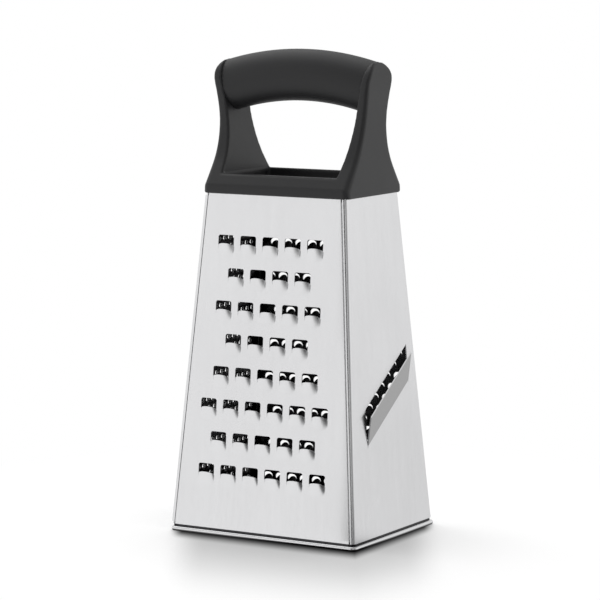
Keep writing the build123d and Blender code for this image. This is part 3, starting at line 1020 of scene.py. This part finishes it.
def handle_piece():
    """Collar and uprights as one moulding."""
    x, y, h = (np.arange(low, high, HANDLE_STEP) for low, high in HANDLE_GRID)
    side_outline, throat = side_half_outline()
    front = outline_distance(x[:, None], h[None, :], both_sides(front_half_outline()))[:, None, :]
    side = outline_distance(y[:, None], h[None, :], both_sides(side_outline))[None, :, :]
    levels = [COLLAR_HEIGHT + WINDOW_REACH * WINDOW_RISE * i / WINDOW_STEPS for i in range(WINDOW_STEPS + 1)]
    window_side = [(window_half_length(level), level) for level in levels]
    window_path = [(0, COLLAR_HEIGHT)] + window_side + [(0, levels[-1])]
    window = outline_distance(x[:, None], h[None, :], both_sides(window_path))[:, None, :]
    fall = (FOOT_HALF_DEPTH - throat[0]) / (THROAT_HEIGHT - SKIRT_HEIGHT)
    trough_half = FOOT_HALF_DEPTH - fall * (COLLAR_HEIGHT - SKIRT_HEIGHT) - COLLAR_WALL
    trough_loop = [(a, b) for a, b, _ in rounded_loop(WINDOW_HALF_LENGTH, trough_half, TROUGH_CORNER, 0)]
    trough_plan = outline_distance(x[:, None], y[None, :], trough_loop)[:, :, None]
    level = h[None, None, :]
    trough = crossed(trough_plan, TUCK + COLLAR_WEB - level, TROUGH_FLOOR_ROUND)
    edge_round = blended(EDGE_ROUND, COLLAR_EDGE_ROUND, 1 - level / COLLAR_EDGE_RISE)
    edge_round = edge_round + blended(0, HEAD_EDGE_ROUND - EDGE_ROUND, (level - HEAD_EDGE_FROM) / HEAD_BLEND)
    inner_round = blended(INNER_EDGE_ROUND, HEAD_INNER_ROUND, (level - HEAD_INNER_FROM) / HEAD_BLEND)
    solid = crossed(front - SIDE_FILL, side - FRONT_FILL, edge_round)
    solid = crossed(solid, -FOOT_DROP - level, FOOT_EDGE_ROUND)
    solid = crossed(solid, -window, inner_round)
    solid = crossed(solid, -trough, TROUGH_RIM_ROUND)
    half_x = BASE_LENGTH / 2 - LENGTH_TAPER * (BODY_RISE + level) + COLLAR_FIT
    half_y = BASE_DEPTH / 2 - DEPTH_TAPER * (BODY_RISE + level) + COLLAR_FIT
    within = np.maximum(abs(x[:, None, None]) - half_x, abs(y[None, :, None]) - half_y)
    solid = np.maximum(solid, -np.maximum(within, level - TUCK))
    points, faces = net_skin(solid, (x[0], y[0], h[0] + COLLAR_BASE), HANDLE_STEP)
    moulding = fresh_object("handle_moulding", (points * MM).tolist(), faces.tolist())
    finished(moulding, plastic, ["handle_frame"], sharp_angle=75)


def grip_piece():
    """Oval bar along an arc that runs into the uprights' inner faces."""
    rings = []
    for step in range(-GRIP_HALF_STEPS, GRIP_HALF_STEPS + 1):
        ring = []
        for turn in [2 * math.pi * side / GRIP_SIDES for side in range(GRIP_SIDES)]:
            radius = GRIP_ARC_RADIUS + GRIP_HEIGHT / 2 * math.sin(turn) - SKIN_GAP
            reach = FIRST_SWING
            for _ in range(SWING_TRIES):
                height = GRIP_ARC_CENTRE + radius * math.cos(reach) - COLLAR_BASE
                reach = math.asin((window_half_length(height) + GRIP_END) / radius)
            swing = reach * (step / GRIP_HALF_STEPS)
            ring.append((radius * math.sin(swing), GRIP_DEPTH / 2 * math.cos(turn),
                         GRIP_ARC_CENTRE + radius * math.cos(swing)))
        rings.append(ring)
    grip = closed_object("soft_grip", *capped(rings))
    finished(grip, rubber, ["grip_sleeve"], sharp_angle=60)


# Screws

def screw_head_ring(radius, height):
    """Ring of the domed head, let in where the cross recess is."""
    ring = []
    for turn in [2 * math.pi * i / SCREW_SIDES for i in range(SCREW_SIDES)]:
        x, y = max(radius, SCREW_AXIS) * math.cos(turn), max(radius, SCREW_AXIS) * math.sin(turn)
        near, far = sorted((abs(x), abs(y)))
        let_in = near < CROSS_HALF_WIDTH and far < CROSS_REACH and height < CROSS_RIM
        ring.append((x, y, height + (CROSS_DEPTH - CROSS_SLOPE * radius if let_in else 0)))
    return ring


def screw_shank_ring(height):
    """Ring of the shank, with its thread's ridge, drawn in toward the point."""
    taper = 1 if height < POINT_START else max(POINT_SHARE, 1 - (height - POINT_START) / POINT_LENGTH)
    ring = []
    for i in range(SCREW_SIDES):
        turn = 2 * math.pi * i / SCREW_SIDES
        phase = (height / THREAD_PITCH - i / SCREW_SIDES) % 1
        ridge = max(0, 1 - abs(phase - 0.5) * THREAD_SHARPNESS)
        radius = (SHANK_RADIUS + THREAD_HEIGHT * ridge * min(1, height)) * taper
        ring.append((radius * math.cos(turn), radius * math.sin(turn), height))
    return ring


def screw_template():
    """Self-tapping screw, point up: a domed head with a cross recess, and a threaded shank."""
    rings = [screw_head_ring(radius, height) for radius, height in HEAD_PROFILE]
    for band in range(SHANK_BANDS + 1):
        rings.append(screw_shank_ring(SHANK_START + THREAD_TURNS * THREAD_PITCH * band / SHANK_BANDS))
    return closed_object("screw_shape", *capped(rings), scale=1)


def screw_tree():
    """Four screws at the corners of a level rectangle."""
    tree, graph, given = open_tree("handle_screws", {
        "Screw": "Object", "Spacing along": "Float", "Spacing across": "Float", "Seat height": "Float",
        "Scale": "Float", "Material": "Material"})
    grid = graph.add("GeometryNodeMeshGrid", {
        "Size X": given["Spacing along"], "Size Y": given["Spacing across"],
        "Vertices X": 2, "Vertices Y": 2})
    lift = graph.add("ShaderNodeCombineXYZ", {"Z": given["Seat height"]})
    seats = graph.add("GeometryNodeSetPosition", {"Geometry": grid, "Offset": lift})
    source = graph.add("GeometryNodeObjectInfo", {"Object": given["Screw"]}, "Geometry")
    screws = graph.add("GeometryNodeInstanceOnPoints", {"Points": seats, "Instance": source})
    solid = graph.add("GeometryNodeRealizeInstances", {"Geometry": screws})
    scale = graph.add("ShaderNodeCombineXYZ", {axis: given["Scale"] for axis in "XYZ"})
    sized = graph.add("GeometryNodeTransform", {"Geometry": solid, "Scale": scale})
    close_tree(graph, sized, given["Material"])
    return tree


def screw_pieces():
    """The four screws that hold the handle to the plate."""
    template = screw_template()
    top_half = BASE_LENGTH / 2 - LENGTH_TAPER * (STEEL_TOP - RIM_HEIGHT)
    screws = fresh_object("handle_screws")
    with_tree(screws, screw_tree(), {
        "Screw": template, "Spacing along": 2 * (top_half - SCREW_INSET), "Spacing across": SCREW_SPACING,
        "Seat height": STEEL_TOP - PLATE_THICKNESS, "Scale": MM, "Material": screw_steel})
    drop(template)
    nodes = ["handle_screw_" + corner for corner in ("front_left", "front_right", "back_left", "back_right")]
    finished(screws, screw_steel, nodes, sharp_angle=35)


# Finishes

def new_material(name):
    """A material with one shader, and the graph that its patterns are added to."""
    material = bpy.data.materials.new(name)
    material.use_nodes = True
    return material, Graph(material.node_tree), material.node_tree.nodes["Principled BSDF"]


def stretched_noise(graph, scales, detail, distortion=0.0):
    """Noise whose grain is drawn out along some of the object's axes."""
    spread = graph.add("ShaderNodeVectorMath", {0: graph.place(), 1: scales}, operation="MULTIPLY")
    return graph.add("ShaderNodeTexNoise", {"Vector": spread, "Scale": 1.0, "Detail": detail,
                                            "Distortion": distortion})


def finish(graph, shader, color, rough, relief, strength, depth):
    """Feeds a shader its colour, its roughness and a bump."""
    graph.feed(color, shader, "Base Color")
    graph.feed(rough, shader, "Roughness")
    bump = graph.add("ShaderNodeBump", {"Strength": strength, "Distance": depth, "Height": relief})
    graph.feed(bump, shader, "Normal")


# Patterns of the steel: repeats per metre along x, y and z, and the detail. Then their shares in its tone.
GRAIN = ((2600, 2600, 38), 4.0)
BROAD_STREAKS = ((240, 240, 9), 2.0)
HANDLING_CLOUDS = ((22, 22, 14), 3.0)
GRAIN_SHARE = 0.4
BROAD_SHARE = 0.15
CLOUD_SHARE = 0.45
TONE_SPREAD = (0.3, 0.7)
CLOUDED_GLOSS = 0.8
GRAIN_STRENGTH = 0.35


def steel_material(name, dark, light, rough, streak, depth, blade_and_painted_shade=None):
    """Stainless steel: a fine vertical grain, cloudy handling marks and a soft gloss."""
    material, graph, shader = new_material(name)
    shader.inputs["Metallic"].default_value = 1.0
    grain, broad, clouds = (stretched_noise(graph, *kind) for kind in (GRAIN, BROAD_STREAKS, HANDLING_CLOUDS))
    tone = graph.ramp(grain * GRAIN_SHARE + broad * BROAD_SHARE + clouds * CLOUD_SHARE, *TONE_SPREAD)
    color = graph.mix_color(tone, dark, light)
    # The given colouring darkens the blade's face and paints shade into the steel's colour
    if blade_and_painted_shade:
        color = blade_and_painted_shade(graph, color)
    rough = rough + (grain - 0.5) * streak + (clouds - 0.5) * streak * CLOUDED_GLOSS
    finish(graph, shader, color, rough, grain, GRAIN_STRENGTH, depth)
    return material


BLADE_FACE_TONE = 0.41
BLADE_FACE_FROM = 0.15
BLADE_FACE_FACING = 0.85
# Painted shade: tone and faint blue of the darkened inner faces and neck, and how far a face turns inwards to
# take it
PAINTED_SHADE_TONE = 0.05
PAINTED_SHADE_BLUE = 0.002
PAINTED_SHADE_FACING = (0.2, 0.5)


def blade_tone_and_painted_inner_shade(graph, color):
    """Darkens the blade's face, and paints shade on the inner faces and in the neck above the rim."""
    x, y, height = graph.split(graph.place())
    up = height - RIM_HEIGHT * MM
    depth_x = BASE_LENGTH / 2 * MM - up * LENGTH_TAPER - abs(x)
    depth_y = BASE_DEPTH / 2 * MM - up * DEPTH_TAPER - abs(y)
    facing_x, facing_y, _ = graph.split(graph.add("ShaderNodeNewGeometry", output="True Normal"))
    front = depth_y < depth_x
    outward = front * (facing_y * y.sign()) + (1 - front) * (facing_x * x.sign())
    # Painted shade on the faces that turn inwards, standing in for the dark inside the body
    inner = graph.ramp(0 - outward, *PAINTED_SHADE_FACING)
    # Painted shade in the neck above the rim, so that the crease there reads as a dark line
    neck = (depth_x.at_most(depth_y) > 0.5 * NECK_DEPTH * MM) * (up < NECK_DEPTH * MM)
    # The blade's outer face, lifted out of the sheet, is given a darker grey
    blade = (depth_x < -BLADE_FACE_FROM * MM) * (x > 0) * (facing_x > BLADE_FACE_FACING)
    color = graph.mix_color(blade, color, grey(BLADE_FACE_TONE))
    return graph.mix_color(inner.at_least(neck), color, grey(PAINTED_SHADE_TONE, PAINTED_SHADE_BLUE))


# Patterns of the mouldings: repeats per metre, detail and distortion
MOULD_SHEEN = 0.46
MOULD_CLOUDS = ((34, 34, 34), 3.0, 0.4)
MOULD_DETAIL = 5.0
MOULD_CLOUD_SHARE = 0.6
MOULD_TEXTURE_SHARE = 0.4
MOULD_GRIT = 0.1
MOULD_STRENGTH = 0.5


def moulded_material(name, dark, light, rough, texture_scale, depth, scuffs):
    """Matte moulding: an eroded fine texture, with a slightly uneven tone and faint rubbed patches."""
    material, graph, shader = new_material(name)
    shader.inputs["Specular IOR Level"].default_value = MOULD_SHEEN
    texture = stretched_noise(graph, (texture_scale,) * 3, MOULD_DETAIL)
    clouds = stretched_noise(graph, *MOULD_CLOUDS)
    color = graph.mix_color(clouds * MOULD_CLOUD_SHARE + texture * MOULD_TEXTURE_SHARE, dark, light)
    rough = rough + (texture - 0.5) * MOULD_GRIT + (clouds - 0.5) * scuffs
    finish(graph, shader, color, rough, texture, MOULD_STRENGTH, depth)
    return material


steel = steel_material("satin_sheet_steel", dark=grey(0.74, 0.01), light=grey(0.83, 0.01),
                       rough=0.24, streak=0.10, depth=0.00002, blade_and_painted_shade=blade_tone_and_painted_inner_shade)
rim_steel = steel_material("rolled_rim_steel", dark=grey(0.72, 0.01), light=grey(0.82, 0.01),
                           rough=0.20, streak=0.08, depth=0.00001)
screw_steel = steel_material("plated_screw_steel", dark=grey(0.60, 0.03), light=grey(0.74, 0.03),
                             rough=0.28, streak=0.12, depth=0.00001)
plastic = moulded_material("matte_black_plastic", dark=grey(0.011, 0.001), light=grey(0.016, 0.001),
                           rough=0.45, texture_scale=5200, depth=0.00004, scuffs=0.10)
rubber = moulded_material("soft_black_grip", dark=grey(0.012, 0.001), light=grey(0.017, 0.001),
                          rough=0.52, texture_scale=7000, depth=0.00003, scuffs=0.08)

lattice_nodes = lattice_tree()

coarse = scoop(width=9.2, opening=5.2, corner=1.15, arch=1.0, lift=1.9, ramp=6.0, fullness=1.2, ease=0.3,
               columns=20, rows=11)
fine = scoop(width=5.4, opening=3.2, corner=2.1, arch=1.7, lift=1.1, ramp=2.0, fullness=1.3, ease=0.2,
             columns=10, rows=4)
rasp = burr(root=1.8, rim=1.45, hole=1.3, height=0.7, petals=5)

punched_panel("front_panel", 0, -1, coarse, {
    "Column pitch": 13.0, "Row pitch": 16.6, "Cell foot": -9.0, "Top margin": 26.3, "Bottom margin": 20.0,
    "Shift": -1.8, "Edge margin": 15.0, "Raised share": 0.9})
punched_panel("back_panel", 0, 1, fine, {
    "Column pitch": 7.4, "Row pitch": 6.04, "Cell foot": -2.42, "Top margin": 13.0, "Bottom margin": 12.0,
    "Shift": 0.0, "Edge margin": 7.0, "Raised share": 0.6})
punched_panel("left_panel", -1, 0, rasp, {
    "Column pitch": 4.8, "Row pitch": 4.4, "Cell foot": -2.2, "Top margin": 12.0, "Bottom margin": 12.0,
    "Shift": 0.0, "Edge margin": 6.5, "Raised share": 0.3})
slicing_panel("right_panel")
base_rim()
top_plate()
handle_piece()
grip_piece()
screw_pieces()


# Studio

CAMERA_PLACE = (0.74723, -1.26102, 0.29977)
CAMERA_AZIMUTH = 30.701
CAMERA_ELEVATION = 7.093
CAMERA_ROLL = 0.079
CAMERA_LENS = 174.19
CAMERA_SENSOR = 36.0
CAMERA_SIGHT = 100

LAMP_PLACE = (-0.7, 0.3, 1.6)
LAMP_TARGET = (0, 0, 0.1)
LAMP_SIZE = 1.6
LAMP_POWER = 9

# Greys by compass direction from the object, in degrees: 0 is the front and 90 its right.
# The steel mirrors the surround and the table's near and far tones. The light falls on what isn't metal.
SURROUND_TONES = [
    (-180, 0.88), (-120, 0.88), (-60, 0.95), (-20, 0.98), (-17, 0.94), (-13, 0.01), (13, 0.0), (22, 0.54),
    (36, 0.70), (50, 0.22), (64, 0.22), (84, 0.60), (96, 0.90), (125, 0.98), (150, 0.90), (180, 0.88)]
LIGHT_TONES = [(-180, 0.80), (-90, 0.72), (-30, 0.66), (40, 0.74), (90, 1.0), (140, 1.0), (180, 0.80)]
NEAR_TONES = [
    (-180, 0.80), (-120, 0.88), (-60, 0.97), (-26, 0.97), (-14, 0.76), (-4, 0.50), (8, 0.28), (20, 0.12),
    (34, 0.04), (60, 0.03), (76, 0.30), (90, 0.72), (104, 0.80), (132, 0.79), (180, 0.77)]
FAR_TONES = [
    (-180, 0.86), (-60, 0.94), (-20, 0.94), (0, 0.72), (16, 0.55), (30, 0.48), (60, 0.48), (84, 0.60),
    (110, 0.90), (150, 0.86), (180, 0.86)]
CEILING_TONE = 0.42
CEILING_RISE = (0.3, 0.8)

TABLE_RADIUS = 4.0
TABLE_SIDES = 96
TABLE_TONES = (0.88, 0.91)
TABLE_CLOUDS = ((6, 6, 6), 2.0)

# Soft shadow on the table: it runs off to the front right, and is darkest where the rim touches
SHADOW_TURN = 31.0
CREEP_REACH = 0.18
CREEP_DEPTH = 0.36
CREEP_EDGE = (-0.01, 0.04)
TOUCH_REACH = 0.021
TOUCH_DEPTH = 0.95
TOUCH_EDGE = (-0.004, 0.012)
GLOW = 0.18
CLEARING = (0.10, 0.25)

# What the steel mirrors of the table: near and far tones, a light strip past the front face, a dark contact
FAR_BLEND = (0.42, 0.8)
STRIP_CORNER = (0.05, 0.041)
STRIP_TURN = 30
STRIP_BLEND = 0.012
STRIP_BACK = -0.045
STRIP_TONE = 0.94
CONTACT_REACH = 0.008


def add_camera():
    """The photograph's viewpoint."""
    azimuth, elevation, roll = (math.radians(a) for a in (CAMERA_AZIMUTH, CAMERA_ELEVATION, CAMERA_ROLL))
    back = Vector((math.sin(azimuth) * math.cos(elevation), -math.cos(azimuth) * math.cos(elevation),
                   math.sin(elevation)))
    right = Vector((math.cos(azimuth), math.sin(azimuth), 0))
    up = back.cross(right)
    turned_right = right * math.cos(roll) - up * math.sin(roll)
    turned_up = right * math.sin(roll) + up * math.cos(roll)
    camera = bpy.data.objects.new("camera", bpy.data.cameras.new("camera"))
    bpy.context.scene.collection.objects.link(camera)
    camera.data.sensor_width = CAMERA_SENSOR
    camera.data.lens = CAMERA_LENS
    camera.data.clip_end = CAMERA_SIGHT
    turn = Matrix((turned_right, turned_up, back)).transposed().to_4x4()
    camera.matrix_world = Matrix.Translation(CAMERA_PLACE) @ turn
    bpy.context.scene.camera = camera


def add_softbox():
    """One large soft lamp overhead."""
    lamp = bpy.data.lights.new("top_softbox", "AREA")
    lamp.shape = "RECTANGLE"
    lamp.size = LAMP_SIZE
    lamp.size_y = LAMP_SIZE
    lamp.energy = LAMP_POWER
    holder = bpy.data.objects.new("top_softbox", lamp)
    bpy.context.scene.collection.objects.link(holder)
    holder.location = LAMP_PLACE
    holder.rotation_euler = (Vector(LAMP_TARGET) - Vector(LAMP_PLACE)).to_track_quat("-Z", "Y").to_euler()


def tones_around(graph, place, tones):
    """Grey that changes with the compass direction from the object."""
    x, y, _ = graph.split(place)
    turn = x.math("ARCTAN2", x, 0 - y) * (0.5 / math.pi) + 0.5
    stops = [(0.5 + angle / 360, grey(tone)) for angle, tone in tones]
    return graph.add("ShaderNodeValToRGB", {"Fac": turn}, stops=stops)


def add_world():
    """White to the camera. To metal it is a soft surround, dimmer on the camera's side."""
    world = bpy.data.worlds.new("studio")
    bpy.context.scene.world = world
    world.use_nodes = True
    graph = Graph(world.node_tree)
    background = world.node_tree.nodes["Background"]
    place = graph.add("ShaderNodeTexCoord", output="Generated")
    surround = tones_around(graph, place, SURROUND_TONES)
    light = tones_around(graph, place, LIGHT_TONES)
    ceiling = graph.ramp(graph.split(place)[2], *CEILING_RISE)
    surround = graph.mix_color(ceiling, surround, grey(CEILING_TONE))
    rays = graph.add("ShaderNodeLightPath", output="Is Camera Ray")
    seen = graph.mix_color(rays.other("Is Glossy Ray"), light, surround)
    graph.feed(graph.mix_color(rays, seen, grey(1)), background, "Color")
    background.inputs["Strength"].default_value = 1.0


def shadow_run(x, y):
    """How far out from the foot a spot lies along the soft shadow, and the foot's length behind it."""
    half_x, half_y = BASE_LENGTH / 2 * MM, BASE_DEPTH / 2 * MM
    across, along = (math.sin(math.radians(SHADOW_TURN)), -math.cos(math.radians(SHADOW_TURN)))
    entry = ((x - half_x) * (1 / across)).at_least((y + half_y) * (1 / along)).at_least(0)
    end = ((x + half_x) * (1 / across)).at_most((y - half_y) * (1 / along))
    return entry, end - entry


def mirrored_table(graph, place, x, y, entry, chord):
    """The table as the steel mirrors it, a glow of its own."""
    turn = math.radians(STRIP_TURN)
    aside = (x - STRIP_CORNER[0]) * math.cos(turn) - (y + STRIP_CORNER[1]) * math.sin(turn)
    past_face = graph.ramp(aside, 0.0, STRIP_BLEND).at_least(y > STRIP_BACK)
    near = graph.mix_color(past_face, grey(STRIP_TONE), tones_around(graph, place, NEAR_TONES))
    away = graph.ramp(graph.length(place), *FAR_BLEND)
    tone = graph.mix_color(away, near, tones_around(graph, place, FAR_TONES))
    outside = entry.at_least(0 - (chord + entry))
    reach = graph.ramp(outside, 0.0, CONTACT_REACH, kind="SMOOTHSTEP")
    return graph.add("ShaderNodeEmission", {"Color": tone, "Strength": reach})


def table_material():
    """Pale table: it keeps the soft shadow, clears to white further off, and has a dim side in metal."""
    material = bpy.data.materials.new("pale_table")
    material.use_nodes = True
    graph = Graph(material.node_tree)
    material.node_tree.nodes.clear()
    place = graph.place()
    x, y, _ = graph.split(place)
    entry, chord = shadow_run(x, y)
    creep = graph.ramp(entry, 0.0, CREEP_REACH, CREEP_DEPTH, 0.0, "SMOOTHSTEP")
    under = graph.ramp(chord, *CREEP_EDGE, kind="SMOOTHSTEP")
    touch = graph.ramp(entry, 0.0, TOUCH_REACH, TOUCH_DEPTH, 0.0, "SMOOTHSTEP")
    beside = graph.ramp(chord, *TOUCH_EDGE, kind="SMOOTHSTEP")
    bright = (1 - creep * under) * (1 - touch * beside)
    clouds = stretched_noise(graph, *TABLE_CLOUDS)
    color = graph.mix_color(bright, grey(0), graph.mix_color(clouds, *(grey(tone) for tone in TABLE_TONES)))
    rays = graph.add("ShaderNodeLightPath", output="Is Camera Ray")
    plain = graph.add("ShaderNodeBsdfDiffuse", {"Color": color})
    glow = graph.add("ShaderNodeEmission", {"Color": grey(1), "Strength": rays * bright * GLOW})
    lit = graph.add("ShaderNodeAddShader", {0: plain, 1: glow})
    white = graph.add("ShaderNodeEmission", {"Color": grey(1), "Strength": 1.0})
    clear = graph.ramp(graph.length(place), *CLEARING, kind="SMOOTHSTEP")
    table = graph.add("ShaderNodeMixShader", {0: clear * rays, 1: lit, 2: white})
    mirrored = mirrored_table(graph, place, x, y, entry, chord)
    shown = graph.add("ShaderNodeMixShader", {0: rays.other("Is Glossy Ray"), 1: table, 2: mirrored})
    graph.add("ShaderNodeOutputMaterial", {"Surface": shown})
    return material


def add_floor():
    """The round table top that the grater stands on."""
    floor = fresh_object("floor")
    bm = bmesh.new()
    bmesh.ops.create_circle(bm, cap_ends=True, radius=TABLE_RADIUS, segments=TABLE_SIDES)
    bm.to_mesh(floor.data)
    bm.free()
    floor.data.materials.append(table_material())


add_camera()
add_world()
add_floor()
add_softbox()
bpy.context.scene.view_settings.view_transform = "Standard"

bpy.context.view_layer.update()
